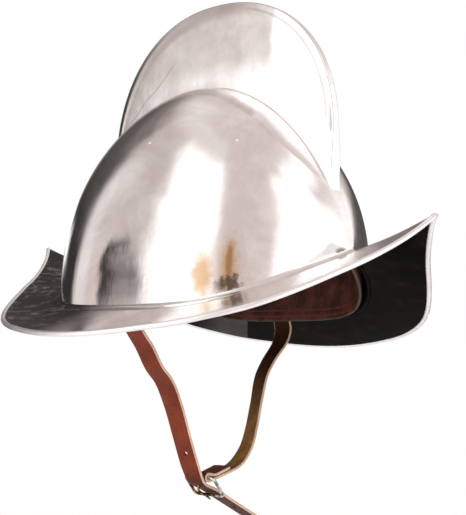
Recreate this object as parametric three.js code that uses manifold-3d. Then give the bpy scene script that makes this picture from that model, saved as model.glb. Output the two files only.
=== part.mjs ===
// A comb morion: an open steel helmet with a tall hollow comb and a broad brim swept up to a point
// at front and back, a leather lining, and a leather chin strap fastened by a wire buckle.
// Millimetres, +Z up. The wearer faces -Y, with their left side at +X. The origin is the middle of
// the head opening, level with the lower edge of the lining at the sides.
import * as THREE from "three";
import { mergeVertices } from "three/addons/utils/BufferGeometryUtils.js";
import Module from "manifold-3d";

const wasm = await Module();
wasm.setup();

// Sheet and clearances
const steel = 1.2;
const gap = 0.3;

// Bowl: its seam with the brim, and its ridge from back to front
const bowlLength = 226;
const bowlWidth = 164;
const seamUp = 2;
const seamRise = 35.5;
const seamCurve = 4.0;
const crownUp = 149.3;
const planCurve = 3.75;
const planFlare = 1.05;
const ridgeCurve = 1.84;
const ridgeFlare = 1.45;
const sectionCurve = 2.14;

// Comb: a round-topped hollow fin along the ridge, closed by a flat crest band
const combFront = 100;
const combBack = 94.5;
const combUp = 108;
const combRise = 99.4;
const combCurve = 2.2;
const combFootCurve = 3;
const combThickness = 9.6;
const crestRound = 1.2;

// Brim, over its rolled edge
const brimLength = 344;
const brimWidth = 257;
const brimSideUp = -15.0;
const brimFrontUp = 55.3;
const brimBackUp = 52.8;
const brimDish = 1.5;
const edgeRadius = 1.6;

// Lining: a leather band that stands off the steel by the straps' room
const liningRoom = 2.8;
const liningThickness = 1.6;
const liningHeight = 45;
const liningDrop = 2;
const liningEndRound = 3;
const liningNose = 10;

// Chin strap
const strapWidth = 14.5;
const strapThickness = 1.8;
const strapTuck = 34;
const rivetUp = 20;
const rightStrapForward = 5;
const leftStrapForward = -6;
const foldReturn = 21;
const tailLength = 47;
const tailTipLength = 9;
// How far the hanging tail goes forward and down, as shares of its length
const tailForward = 0.9;
const tailDown = 0.44;
const holeDiameter = 3;

// Buckle: a rectangle of wire that hangs from its top bar
const wireRadius = 1.0;
const buckleWidth = 24.8;
// The frame has slid this far back along the fold
const buckleSlide = 1.4;
const buckleLength = 16;
const buckleCorner = 2.5;
const tongueRadius = 0.8;
const buckleSide = -7.5;
const buckleUp = -103.1;
const buckleSlope = 49;

// Rivets
const rivetRadius = 1.0;
const rivetHeadRadius = 3.2;
const rivetHeadHeight = 1.2;

// The brim's outline: half width and rise, as shares, at shares of the way from middle to tip
const brimOutline = [
  { along: 0.0, width: 1.0 },
  { along: 0.2, width: 0.967 },
  { along: 0.4, width: 0.88 },
  { along: 0.55, width: 0.767 },
  { along: 0.68, width: 0.603 },
  { along: 0.79, width: 0.391 },
  { along: 0.87, width: 0.212 },
  { along: 0.93, width: 0.097 },
  { along: 0.97, width: 0.035 },
  { along: 1.0, width: 0.0 },
];
const brimSweep = [
  { along: 0.0, rise: 0.0 },
  { along: 0.3, rise: 0.048 },
  { along: 0.5, rise: 0.13 },
  { along: 0.68, rise: 0.292 },
  { along: 0.82, rise: 0.55 },
  { along: 0.92, rise: 0.783 },
  { along: 1.0, rise: 1.0 },
];

// Each strap's hang, from under the lining to the buckle: side as a share of the way from the
// buckle's bar out to the anchor, up as a share of the drop to the bar, forward in strap widths
const rightHang = [
  { side: 0.945, up: 0.91, forward: 0.34, twist: -2 },
  { side: 0.79, up: 0.79, forward: 0.3, twist: -5 },
  { side: 0.66, up: 0.67, forward: 0.26, twist: -7 },
  { side: 0.515, up: 0.585, forward: 0.16, twist: -8 },
  { side: 0.37, up: 0.43, forward: 0.06, twist: -7 },
  { side: 0.24, up: 0.235, forward: 0.0, twist: -5 },
  { side: 0.135, up: 0.07, forward: 0.0, twist: -6 },
];
const leftHang = [
  { side: 0.995, up: 0.94, forward: -0.33, twist: 2 },
  { side: 0.94, up: 0.855, forward: -0.24, twist: 5 },
  { side: 0.795, up: 0.73, forward: -0.2, twist: 10 },
  { side: 0.71, up: 0.625, forward: -0.2, twist: 14 },
  { side: 0.655, up: 0.455, forward: -0.2, twist: 19 },
  { side: 0.595, up: 0.29, forward: -0.16, twist: 18 },
  { side: 0.53, up: 0.17, forward: -0.12, twist: 14 },
  { side: 0.395, up: 0.065, forward: -0.06, twist: 7 },
  { side: 0.2, up: 0.015, forward: 0, twist: 2 },
];
// Punched holes of the billet, in millimetres along it from the hole that the tongue is in
const holePlaces = [-25, 0, 38];
// The tongue's arch from the bar to its tip: shares of the buckle's length, and of its own rise
const tongueArch = [
  { along: 0.15, out: 0.3 },
  { along: 0.2, out: 0.75 },
  { along: 0.34, out: 1.0 },
  { along: 0.56, out: 0.86 },
  { along: 0.82, out: 0.55 },
  { along: 1.1, out: 0.37 },
];
const tongueRise = 6.6;
// Where the tongue goes through the billet: shares of the buckle's length and of the tongue's rise
const tongueCrossing = { along: 0.19, out: 0.66 };
// The tongue's loop round the bar: where it starts, and its step, in degrees
const tongueLoopStart = 105;
const tongueLoopStep = 25.5;
const tongueLoopPoints = 11;
const tongueSteps = 44;

// Materials
const polishedSteel = new THREE.MeshStandardMaterial({ color: 0xd9d2d0, roughness: 0.18, metalness: 1 });
const rolledSteel = new THREE.MeshStandardMaterial({ color: 0xf2f0ee, roughness: 0.2, metalness: 1 });
const liningLeather = new THREE.MeshStandardMaterial({ color: 0x4a1a17, roughness: 0.6, metalness: 0 });
const strapLeather = new THREE.MeshStandardMaterial({ color: 0x8c3a2c, roughness: 0.5, metalness: 0 });
const buckleMetal = new THREE.MeshStandardMaterial({ color: 0xb8b4ac, roughness: 0.3, metalness: 1 });

// A point from its distances forward, to the wearer's left, and up
function at(forward, side, up) {
  return new THREE.Vector3(side, -forward, up);
}

// A value between the rows of a table, on a smooth curve that starts level
function between(table, column, share) {
  const last = table.length - 1;
  const slope = (i) =>
    (table[i + 1][column] - table[i][column]) / (table[i + 1].along - table[i].along);
  const tangent = (i) => {
    if (i === 0) return 0;
    if (i === last) return slope(last - 1);
    const before = table[i].along - table[i - 1].along;
    const after = table[i + 1].along - table[i].along;
    return (slope(i - 1) * after + slope(i) * before) / (before + after);
  };
  let i = 0;
  while (i < last - 1 && share > table[i + 1].along) i++;
  const span = table[i + 1].along - table[i].along;
  const t = THREE.MathUtils.clamp((share - table[i].along) / span, 0, 1);
  const [t2, t3] = [t * t, t * t * t];
  return (
    (2 * t3 - 3 * t2 + 1) * table[i][column] +
    (t3 - 2 * t2 + t) * span * tangent(i) +
    (3 * t2 - 2 * t3) * table[i + 1][column] +
    (t3 - t2) * span * tangent(i + 1)
  );
}

// A closed geometry from triangles of points, with coincident points merged and flat ones dropped
function closed(triangles) {
  const soup = new THREE.BufferGeometry().setFromPoints(triangles.flat());
  const merged = mergeVertices(soup, 1e-3);
  const corners = [...merged.index.array];
  const kept = [];
  for (let i = 0; i < corners.length; i += 3) {
    const [a, b, c] = corners.slice(i, i + 3);
    if (a !== b && b !== c && c !== a) kept.push(a, b, c);
  }
  merged.setIndex(kept);
  return facingOut(merged);
}

function facingOut(geometry) {
  const place = geometry.attributes.position;
  const point = (i) => new THREE.Vector3().fromBufferAttribute(place, geometry.index.array[i]);
  let volume = 0;
  for (let i = 0; i < geometry.index.count; i += 3) {
    volume += point(i).dot(point(i + 1).cross(point(i + 2)));
  }
  if (volume < 0) geometry.index.array.reverse();
  geometry.computeVertexNormals();
  return geometry;
}

const quad = (a, b, c, d) => [
  [a, b, c],
  [a, c, d],
];

// A sheet between two grids of points with the same rows and columns
function sheet(outer, inner) {
  const triangles = [];
  const [rows, columns] = [outer.length - 1, outer[0].length - 1];
  for (let r = 0; r < rows; r++) {
    for (let c = 0; c < columns; c++) {
      triangles.push(...quad(outer[r][c], outer[r][c + 1], outer[r + 1][c + 1], outer[r + 1][c]));
      triangles.push(...quad(inner[r][c], inner[r + 1][c], inner[r + 1][c + 1], inner[r][c + 1]));
    }
    triangles.push(...quad(outer[r][0], outer[r + 1][0], inner[r + 1][0], inner[r][0]));
    triangles.push(
      ...quad(inner[r][columns], inner[r + 1][columns], outer[r + 1][columns], outer[r][columns]),
    );
  }
  for (let c = 0; c < columns; c++) {
    triangles.push(...quad(inner[0][c], inner[0][c + 1], outer[0][c + 1], outer[0][c]));
    triangles.push(...quad(outer[rows][c], outer[rows][c + 1], inner[rows][c + 1], inner[rows][c]));
  }
  return closed(triangles);
}

// A body through sections of equally many points, joined end to end or capped
function throughSections(sections, endless) {
  const triangles = [];
  const count = sections[0].length;
  const last = endless ? sections.length : sections.length - 1;
  for (let s = 0; s < last; s++) {
    const [a, b] = [sections[s], sections[(s + 1) % sections.length]];
    for (let i = 0; i < count; i++) {
      const j = (i + 1) % count;
      triangles.push(...quad(a[i], a[j], b[j], b[i]));
    }
  }
  if (!endless) {
    const [start, end] = [sections[0], sections.at(-1)];
    for (let i = 1; i < count - 1; i++) {
      triangles.push([start[0], start[i + 1], start[i]], [end[0], end[i], end[i + 1]]);
    }
  }
  return closed(triangles);
}

// A round wire along points, mitred where it turns
function wire(points, radius, sides, endless, across) {
  const sections = points.map((point, i) => {
    const before = points[endless ? (i + points.length - 1) % points.length : Math.max(i - 1, 0)];
    const after = points[endless ? (i + 1) % points.length : Math.min(i + 1, points.length - 1)];
    const arriving = point.clone().sub(before).normalize();
    const leaving = after.clone().sub(point).normalize();
    const along = arriving.clone().add(leaving).normalize();
    const turn = Math.max(along.dot(i === 0 && !endless ? leaving : arriving), 0.45);
    const side = new THREE.Vector3().crossVectors(along, across).normalize();
    const up = new THREE.Vector3().crossVectors(side, along);
    return Array.from({ length: sides }, (_, k) => {
      const angle = ((k + 0.5) * 2 * Math.PI) / sides;
      return point
        .clone()
        .addScaledVector(side, (radius * Math.cos(angle)) / turn)
        .addScaledVector(up, radius * Math.sin(angle));
    });
  });
  return throughSections(sections, endless);
}

// Cutting with manifold-3d
function solidOf(geometry) {
  const bare = geometry.clone();
  bare.deleteAttribute("normal");
  bare.deleteAttribute("uv");
  const merged = mergeVertices(bare, 1e-3);
  return new wasm.Manifold(
    new wasm.Mesh({
      numProp: 3,
      vertProperties: merged.attributes.position.array,
      triVerts: new Uint32Array(merged.index.array),
    }),
  );
}

function cut(geometry, cutters) {
  const solid = cutters.reduce((rest, cutter) => rest.subtract(solidOf(cutter)), solidOf(geometry));
  const made = solid.getMesh();
  const result = new THREE.BufferGeometry();
  result.setAttribute("position", new THREE.BufferAttribute(made.vertProperties, 3));
  result.setIndex(new THREE.BufferAttribute(made.triVerts, 1));
  result.computeVertexNormals();
  return result;
}

// The bowl's wall, at an inset from its outer face

const stations = 32;
const stationShares = Array.from({ length: stations + 1 }, (_, i) => -1 + (2 * i) / stations);
const forwardShare = (station) => Math.sin((station * Math.PI) / 2);
// The wall leans at the bowl's ends, so the same inset reaches further there
const endInset = 1.15;
// Two strips of sheet meet in the middle plane with half a gap on each side
const middle = gap / 2;

function bowl(inset) {
  const halfLength = bowlLength / 2 - inset * endInset;
  const halfWidth = bowlWidth / 2 - inset;
  const halfComb = combThickness / 2 - Math.min(inset, combThickness / 2 - 2 * middle);
  const crown = crownUp - inset;
  const share = (forward) => Math.min(Math.abs(forward) / halfLength, 1);
  const seam = (forward) => seamUp + seamRise * share(forward) ** seamCurve;
  const endUp = seamUp + seamRise;
  const ridge = (forward) =>
    endUp + (crown - endUp) * (1 - share(forward) ** ridgeCurve) ** (1 / ridgeFlare);
  // The comb's round edge, at an angle that is zero at its front and a half turn at its back
  const combRiseIn = combRise - inset;
  const combReach = (forward) => (forward > 0 ? combFront : combBack) - inset;
  const crest = (turn) => {
    const power = 2 / (Math.sin(turn) > 0 ? combCurve : combFootCurve);
    const curved = (value) => Math.sign(value) * Math.abs(value) ** power;
    return {
      forward: combReach(Math.cos(turn)) * curved(Math.cos(turn)),
      up: combUp + combRiseIn * curved(Math.sin(turn)),
    };
  };
  // The comb's foot at each end is where its round edge meets the ridge
  const foot = (end) => {
    let [inside, outside] = [0, halfLength];
    for (let i = 0; i < 40; i++) {
      const trial = (inside + outside) / 2;
      const over = ridge(trial) - combUp;
      const power = over > 0 ? combCurve : combFootCurve;
      const reach = (trial / combReach(end)) ** power + Math.abs(over / combRiseIn) ** power;
      if (reach < 1) inside = trial;
      else outside = trial;
    }
    return inside;
  };
  const feet = { front: foot(1), back: foot(-1) };
  const footAt = (forward) => (forward > 0 ? feet.front : feet.back);
  // The ridge is as wide as the comb up to its foot, then narrows to a keel
  const keel = (forward) => {
    const past = THREE.MathUtils.smoothstep(Math.abs(forward), footAt(forward), halfLength);
    return middle + (halfComb - middle) * (1 - past);
  };
  const plan = (forward) =>
    keel(forward) +
    (halfWidth - halfComb) * (1 - share(forward) ** planCurve) ** (1 / planFlare);
  // A point of the wall at an angle from the seam (0) to the ridge (a right angle)
  const wall = (forward, angle) => {
    const [narrow, wide] = [keel(forward), plan(forward)];
    const [low, high] = [seam(forward), ridge(forward)];
    const side = narrow + (wide - narrow) * Math.max(Math.cos(angle), 0) ** (2 / sectionCurve);
    return { side, up: low + (high - low) * Math.sin(angle) ** (2 / sectionCurve) };
  };
  // The wall's half width at a height over the seam, or null past the ridge
  const widthAt = (forward, height) => {
    const rise = height / (ridge(forward) - seam(forward));
    if (rise >= 1) return null;
    return wall(forward, Math.asin(Math.max(rise, 0) ** (sectionCurve / 2))).side;
  };
  return { halfLength, combRiseIn, crest, footAt, seam, ridge, keel, plan, wall, widthAt };
}

// Skull: one raised half, from the flange below the seam, over the bowl and up the comb's side

const wallRows = 12;
const combRows = 4;

function skullGrid(inset, flange) {
  const body = bowl(inset);
  // Each end of the comb gets a station of its own at its foot
  const ends = [-1, 1].map((end) => {
    const foot = body.footAt(end);
    const station = (Math.asin(foot / body.halfLength) * 2) / Math.PI;
    const knee = 1 - (2 * Math.round(((1 - station) * stations) / 2)) / stations;
    // The crest angle at the foot, found from its height
    const drop = Math.min((body.ridge(foot) - combUp) / body.combRiseIn, 0);
    const angle = -Math.asin(Math.abs(drop) ** (combFootCurve / 2));
    return { station, knee, angle };
  });
  const columns = stationShares.map((share) => {
    const { station: foot, knee, angle } = ends[share > 0 ? 1 : 0];
    const size = Math.abs(share);
    const onComb = size < knee - 1e-6;
    const warped = size <= knee ? (size / knee) * foot : foot + ((size - knee) / (1 - knee)) * (1 - foot);
    const station = Math.sign(share) * warped;
    const forward = body.halfLength * forwardShare(station);
    const column = [at(forward, body.plan(forward), body.seam(forward) - flange)];
    for (let r = 0; r <= wallRows; r++) {
      const { side, up } = body.wall(forward, (r / wallRows) * (Math.PI / 2));
      column.push(at(forward, side, up));
    }
    const quarter = (Math.PI / 2 - angle) * (warped / foot);
    const turn = share > 0 ? Math.PI / 2 - quarter : Math.PI / 2 + quarter;
    const crest = onComb ? body.crest(turn) : { forward, up: body.ridge(forward) };
    const rise = Math.hypot(crest.forward - forward, crest.up - body.ridge(forward));
    const round = Math.min(crestRound, rise / 4) * (inset ? 0.5 : 1);
    const reach = Math.hypot(crest.forward, crest.up - combUp);
    const outward = onComb ? [crest.forward / reach, (crest.up - combUp) / reach] : [0, 0];
    const crestPoint = (depth, side) =>
      at(crest.forward - outward[0] * depth, side, crest.up - outward[1] * depth);
    const half = body.keel(forward);
    const sideFoot = column.at(-1);
    const sideTop = crestPoint(round, half);
    for (let r = 1; r <= combRows; r++) column.push(sideFoot.clone().lerp(sideTop, r / combRows));
    const bevel = round * (1 - Math.SQRT1_2);
    column.push(crestPoint(bevel, half - (onComb ? bevel : 0)));
    column.push(crestPoint(0, half - (onComb ? round : 0)));
    column.push(crestPoint(0, middle));
    return column;
  });
  return columns;
}

const skullHalf = sheet(skullGrid(0, steel), skullGrid(steel, steel));

// Brim: straight from the bowl's seam to its rolled edge, all the way round

const halfRound = [...stationShares.map((s) => [s, 1]), ...stationShares.slice(1, -1).reverse().map((s) => [s, -1])];

function brimOuter(station) {
  const share = Math.abs(forwardShare(station));
  const tipUp = station > 0 ? brimFrontUp : brimBackUp;
  return {
    forward: (brimLength / 2) * forwardShare(station),
    side: (brimWidth / 2) * between(brimOutline, "width", share),
    up: brimSideUp + (tipUp - brimSideUp) * between(brimSweep, "rise", share),
  };
}

// The brim's outline moved in towards the bowl by an inset measured square to it
function brimInset(station, inset) {
  const step = 0.004;
  const here = brimOuter(station);
  const back = brimOuter(Math.max(station - step, -1));
  const on = brimOuter(Math.min(station + step, 1));
  const run = Math.hypot(on.forward - back.forward, on.side - back.side);
  const normal = [-(on.side - back.side) / run, (on.forward - back.forward) / run];
  const skull = bowl(0);
  const seamForward = skull.halfLength * forwardShare(station);
  const inward = [seamForward - here.forward, skull.plan(seamForward) - here.side];
  const reach = Math.hypot(...inward);
  const square = Math.max(Math.abs(inward[0] * normal[0] + inward[1] * normal[1]) / reach, 0.5);
  const move = inset / square / reach;
  return {
    forward: here.forward + inward[0] * move,
    side: Math.abs(station) > 1 - 1e-9 ? 0 : here.side + inward[1] * move,
    up: here.up,
  };
}

const brimSteps = 4;

function brimSection([station, hand]) {
  const skull = bowl(-gap);
  const forward = skull.halfLength * forwardShare(station);
  const ends = Math.abs(station) > 1 - 1e-9;
  const start = at(forward, ends ? 0 : skull.plan(forward) * hand, bowl(0).seam(forward * 0.999));
  const outer = brimInset(station, 2 * edgeRadius + gap);
  const end = at(outer.forward, outer.side * hand, outer.up);
  const top = [];
  for (let i = 0; i <= brimSteps; i++) {
    const point = start.clone().lerp(end, i / brimSteps);
    point.z -= brimDish * Math.sin((Math.PI * i) / brimSteps);
    top.push(point);
  }
  const below = top.map((point) => point.clone().add(at(0, 0, -steel))).reverse();
  return [...top, ...below];
}

const brimSheet = throughSections(halfRound.map(brimSection), true);

function edgePoint([station, hand]) {
  const { forward, side, up } = brimInset(station, edgeRadius);
  return at(forward, side * hand, up - steel / 2);
}

const rolledEdge = wire(halfRound.map(edgePoint), edgeRadius, 8, true, at(0, 0, 1));

// Lining: a band that follows the bowl's inner wall, blunt where the bowl is pointed

const liningStations = 24;
const liningRows = 4;
const outerFace = steel + liningRoom;
const innerFace = outerFace + liningThickness;

function liningPoint(body, station, height) {
  // The band stops where the ridge comes down to its height
  let [inside, outside] = [0, body.halfLength];
  for (let i = 0; i < 30; i++) {
    const trial = (inside + outside) / 2;
    if (body.ridge(trial) - body.seam(trial) > height) inside = trial;
    else outside = trial;
  }
  const forward = (inside - liningEndRound) * forwardShare(station);
  const nose = Math.sqrt(1 - Math.abs(station) ** liningNose);
  return { forward, side: body.widthAt(forward, height) * nose, up: body.seam(forward) + height };
}

function liningSection(station, hand) {
  const point = (body, row) => {
    const height = -liningDrop + (liningHeight + liningDrop) * (row / liningRows);
    const { forward, side, up } = liningPoint(body, station, Math.max(height, 0));
    return at(forward, side * hand, up + Math.min(height, 0));
  };
  const rows = Array.from({ length: liningRows + 1 }, (_, row) => row);
  const outer = rows.map((row) => point(bowl(outerFace), row));
  const inner = rows.map((row) => point(bowl(innerFace), row)).reverse();
  return [...outer, ...inner];
}

function liningBand() {
  const sections = [];
  for (const hand of [1, -1]) {
    for (let i = 0; i <= liningStations; i++) {
      sections.push(liningSection(hand * (-1 + (2 * i) / liningStations), hand));
    }
  }
  return throughSections(sections, true);
}

// Buckle frame, in its own plane: along runs from the top bar to the lower bar, and out faces
// away from the wearer

const slope = THREE.MathUtils.degToRad(buckleSlope);
const bucklePoint = (forward, along, out) =>
  at(
    forward,
    buckleSide + along * Math.cos(slope) - out * Math.sin(slope),
    buckleUp - along * Math.sin(slope) - out * Math.cos(slope),
  );

function buckleRectangle() {
  const corners = [
    [1, 1, 0],
    [-1, 1, 90],
    [-1, -1, 180],
    [1, -1, 270],
  ];
  const arcSteps = 4;
  return corners.flatMap(([f, a, start]) =>
    Array.from({ length: arcSteps + 1 }, (_, i) => {
      const angle = THREE.MathUtils.degToRad(start + (90 * i) / arcSteps);
      const forward = f * (buckleWidth / 2 - buckleCorner) + buckleCorner * Math.cos(angle);
      const along = a * (buckleLength / 2 - buckleCorner) + buckleCorner * Math.sin(angle);
      return bucklePoint(forward - buckleSlide, along + buckleLength / 2, 0);
    }),
  );
}

const buckleNormal = bucklePoint(0, 0, 1).sub(bucklePoint(0, 0, 0));
const buckleWire = wire(buckleRectangle(), wireRadius, 8, true, buckleNormal);

// Tongue: looped round the top bar, up through the billet and over to the lower bar
function tongueWire() {
  const loopRadius = wireRadius + gap + tongueRadius;
  const loop = Array.from({ length: tongueLoopPoints }, (_, i) => {
    const angle = THREE.MathUtils.degToRad(tongueLoopStart + tongueLoopStep * i);
    return bucklePoint(0, loopRadius * Math.cos(angle), loopRadius * Math.sin(angle));
  });
  const arch = tongueArch.map(({ along, out }) =>
    bucklePoint(0, along * buckleLength, out * tongueRise),
  );
  const curve = new THREE.CatmullRomCurve3([...loop, ...arch], false, "centripetal");
  return wire(curve.getSpacedPoints(tongueSteps), tongueRadius, 6, false, at(1, 0, 0));
}

// Straps

// Where a strap lies flat between the skull and the lining, at a height over the origin
function tuckedPoint(forward, hand, up) {
  const body = bowl(steel + liningRoom / 2);
  const side = body.widthAt(forward, Math.max(up - body.seam(forward), 0));
  return at(forward, side * hand, up);
}

const tuckHeights = [1, 0.7, 0.4, 0.15, -0.02].map((share) => share * strapTuck);

function hangPoints(hang, hand) {
  const reach = Math.abs(tuckedPoint(0, hand, 0).x - buckleSide);
  return hang.map(({ side, up, forward, twist }) => ({
    point: at(forward * strapWidth, buckleSide + hand * side * reach, buckleUp * (1 - up)),
    twist,
  }));
}

const flat = (point) => ({ point, twist: 0 });

function rightRoute() {
  const tucked = tuckHeights.map((up) =>
    flat(tuckedPoint(rightStrapForward, -1, up)),
  );
  const overFold = wireRadius + gap + strapThickness + gap + strapThickness / 2;
  const behindBar = wireRadius + gap + strapThickness / 2;
  const through = [
    flat(bucklePoint(0, -0.1 * buckleLength, overFold + 0.3)),
    flat(bucklePoint(0, 0.14 * buckleLength, overFold - 0.2)),
    flat(bucklePoint(0, 0.6 * buckleLength, 0.2)),
    flat(bucklePoint(0, 0.95 * buckleLength, -behindBar - 0.15)),
  ];
  const drop = bucklePoint(0, 0.95 * buckleLength, -behindBar);
  const tail = [0.25, 0.62, 1].map((share) =>
    flat(drop.clone().add(at(0, tailForward * share * tailLength, -tailDown * share * tailLength))),
  );
  return [...tucked, ...hangPoints(rightHang, -1), ...through, ...tail];
}

function leftRoute() {
  const tucked = tuckHeights.map((up) =>
    flat(tuckedPoint(leftStrapForward, 1, up)),
  );
  const hang = hangPoints(leftHang, 1);
  const foldRadius = wireRadius + gap + strapThickness / 2;
  const round = [-75, -115, -155, -195, -235, -268].map((angle) => {
    const turn = THREE.MathUtils.degToRad(angle);
    return flat(at(0, buckleSide + foldRadius * Math.cos(turn), buckleUp + foldRadius * Math.sin(turn)));
  });
  const layer = strapThickness + gap;
  const back = [0.3, 0.62, 1].map((share) => {
    const side = buckleSide + foldReturn * share;
    const rise = 0.16 * foldReturn * share + 0.09 * foldReturn * share * share;
    return flat(at(0, side, buckleUp - foldRadius + rise + layer + 0.35));
  });
  return [...tucked, ...hang, ...round, ...back];
}

// A flat strap along a route, its width lying forward and turned by each place's twist
function strap(route, steps, tipLength) {
  const curve = new THREE.CatmullRomCurve3(route.map(({ point }) => point), false, "centripetal");
  curve.arcLengthDivisions = 600;
  const length = curve.getLength();
  const sections = [];
  for (let i = 0; i <= steps; i++) {
    const share = i / steps;
    const middlePoint = curve.getPointAt(share);
    const along = curve.getTangentAt(share);
    const place = curve.getUtoTmapping(share) * (route.length - 1);
    const before = Math.min(Math.floor(place), route.length - 2);
    const twist = THREE.MathUtils.lerp(route[before].twist, route[before + 1].twist, place - before);
    const width = at(1, 0, 0).projectOnPlane(along).normalize();
    width.applyAxisAngle(along, THREE.MathUtils.degToRad(twist));
    const thick = new THREE.Vector3().crossVectors(along, width).normalize();
    const toEnd = length * (1 - share);
    const narrow = toEnd < tipLength ? Math.sqrt(1 - (1 - toEnd / tipLength) ** 2) : 1;
    const half = Math.max(narrow, 0.3) * (strapWidth / 2);
    const corner = (w, t) =>
      middlePoint
        .clone()
        .addScaledVector(width, w * half)
        .addScaledVector(thick, (t * strapThickness) / 2);
    sections.push([corner(1, 1), corner(-1, 1), corner(-1, -1), corner(1, -1)]);
  }
  return { geometry: throughSections(sections, false), curve, length };
}

// A punch that stands square through a strap at a distance along it
function punch({ curve, length }, distance, radius) {
  const share = distance / length;
  const along = curve.getTangentAt(share);
  const through = new THREE.Vector3().crossVectors(along, at(1, 0, 0)).normalize();
  const pin = new THREE.CylinderGeometry(radius, radius, 4 * strapThickness, 12);
  pin.applyQuaternion(new THREE.Quaternion().setFromUnitVectors(new THREE.Vector3(0, 1, 0), through));
  return pin.translate(...curve.getPointAt(share).toArray());
}

// The distance along a strap to the place nearest a point
function distanceTo({ curve, length }, target) {
  let best = { far: Infinity, share: 0 };
  for (let i = 0; i <= 800; i++) {
    const far = curve.getPointAt(i / 800).distanceTo(target);
    if (far < best.far) best = { far, share: i / 800 };
  }
  return best.share * length;
}

const rightStrap = strap(rightRoute(), 64, tailTipLength);
const leftStrap = strap(leftRoute(), 76, 0);

// Rivets through the lining and each strap's tucked end
function rivetAxis(forward, hand) {
  return { place: tuckedPoint(forward, hand, rivetUp), hand };
}

function rivetBody({ place, hand }) {
  const outerEnd = strapThickness / 2;
  const headSeat = -(liningRoom / 2 + liningThickness + gap);
  const headTop = headSeat - rivetHeadHeight;
  const profile = [
    new THREE.Vector2(0, outerEnd),
    new THREE.Vector2(rivetRadius, outerEnd),
    new THREE.Vector2(rivetRadius, headSeat),
    new THREE.Vector2(rivetHeadRadius, headSeat),
    new THREE.Vector2(rivetHeadRadius * 0.8, headTop + rivetHeadHeight * 0.35),
    new THREE.Vector2(0, headTop),
  ];
  const body = new THREE.LatheGeometry(profile.reverse(), 16);
  body.rotateZ(hand > 0 ? -Math.PI / 2 : Math.PI / 2);
  return body.translate(place.x, place.y, place.z);
}

function rivetHole({ place }) {
  const hole = new THREE.CylinderGeometry(rivetRadius + gap, rivetRadius + gap, 12, 12);
  return hole.rotateZ(Math.PI / 2).translate(place.x, place.y, place.z);
}

const rightRivet = rivetAxis(rightStrapForward, -1);
const leftRivet = rivetAxis(leftStrapForward, 1);

// The billet's holes, with the tongue's where the tongue's arch goes up through it
const crossing = bucklePoint(0, tongueCrossing.along * buckleLength, tongueCrossing.out * tongueRise);
const tongueHole = distanceTo(rightStrap, crossing);
const punches = holePlaces.map((place) => punch(rightStrap, tongueHole + place, holeDiameter / 2));
const billet = cut(rightStrap.geometry, [...punches, rivetHole(rightRivet)]);

// The fold has a slot for the tongue's loop
const slotWidth = 2 * (tongueRadius + gap) + 1;
const slotReach = 2 * (wireRadius + tongueRadius + strapThickness + 2 * gap) + 1;
const slot = new THREE.BoxGeometry(slotReach, slotWidth, slotReach).translate(
  buckleSide,
  0,
  buckleUp,
);
const buckleStrap = cut(leftStrap.geometry, [slot, rivetHole(leftRivet)]);

const lining = cut(liningBand(), [rivetHole(rightRivet), rivetHole(leftRivet)]);

// Assembly
const helmet = new THREE.Group();

function add(name, geometry, material) {
  const mesh = new THREE.Mesh(geometry, material);
  mesh.name = name;
  helmet.add(mesh);
  return mesh;
}

add("skull_left", skullHalf, polishedSteel);
add("skull_right", skullHalf, polishedSteel).scale.x = -1;
add("brim", brimSheet, polishedSteel);
add("brim_edge", rolledEdge, rolledSteel);
add("lining", lining, liningLeather);
add("strap_right", billet, strapLeather);
add("strap_left", buckleStrap, strapLeather);
add("buckle_frame", buckleWire, buckleMetal);
add("buckle_tongue", tongueWire(), buckleMetal);
add("strap_rivet_right", rivetBody(rightRivet), buckleMetal);
add("strap_rivet_left", rivetBody(leftRivet), buckleMetal);

export default helmet;
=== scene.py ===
# A comb morion: an open steel helmet with a tall hollow comb, a broad brim swept up to a point at
# front and back, a dark leather lining, and a leather chin strap with a wire buckle.
# Sizes are in millimetres, and each piece is turned into metres when its mesh is made.
import math
from types import SimpleNamespace

import bmesh
import bpy
import numpy as np
from mathutils import Matrix, Vector


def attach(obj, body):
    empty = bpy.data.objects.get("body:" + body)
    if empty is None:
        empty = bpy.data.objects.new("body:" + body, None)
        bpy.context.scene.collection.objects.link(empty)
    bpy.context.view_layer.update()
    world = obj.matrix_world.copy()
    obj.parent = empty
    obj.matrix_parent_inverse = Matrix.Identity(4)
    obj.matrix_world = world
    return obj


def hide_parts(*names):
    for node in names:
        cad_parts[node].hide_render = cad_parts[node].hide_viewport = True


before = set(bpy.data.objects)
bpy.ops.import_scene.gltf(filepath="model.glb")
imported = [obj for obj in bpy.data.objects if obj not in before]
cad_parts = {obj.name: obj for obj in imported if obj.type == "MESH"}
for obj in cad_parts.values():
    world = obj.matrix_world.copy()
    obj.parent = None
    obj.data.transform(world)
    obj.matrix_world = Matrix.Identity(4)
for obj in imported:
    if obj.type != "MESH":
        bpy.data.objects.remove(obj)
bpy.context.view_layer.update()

# Camera: low in front of the wearer's right side, looking a little up under the far half of the
# brim.
camera_data = bpy.data.cameras.new("camera")
camera_data.lens = 83.54
camera_data.sensor_width = 36
camera = bpy.data.objects.new("camera", camera_data)
bpy.context.scene.collection.objects.link(camera)
camera_place = Vector((-571.9, -532.7, -31.1)) / 1000
camera_right = Vector((0.66791, -0.74395, 0.02072))
camera_up = Vector((-0.08028, -0.04435, 0.99578))
camera_back = camera_right.cross(camera_up)
camera.matrix_world = Matrix.Translation(camera_place) @ Matrix(
    (camera_right, camera_up, camera_back)
).transposed().to_4x4()
bpy.context.scene.camera = camera

bpy.context.scene.view_settings.view_transform = "Standard"
bpy.context.scene.view_settings.look = "None"


# Studio: a white tent, open and dark behind the helmet, so that the polished steel has
# something to show, over a pale floor that fades out.
FLOOR_RADIUS = 0.45
FLOOR_UP = -0.16
FLOOR_FADE = (0.25, 0.44)
FLOOR_GLOW = 0.35
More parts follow.
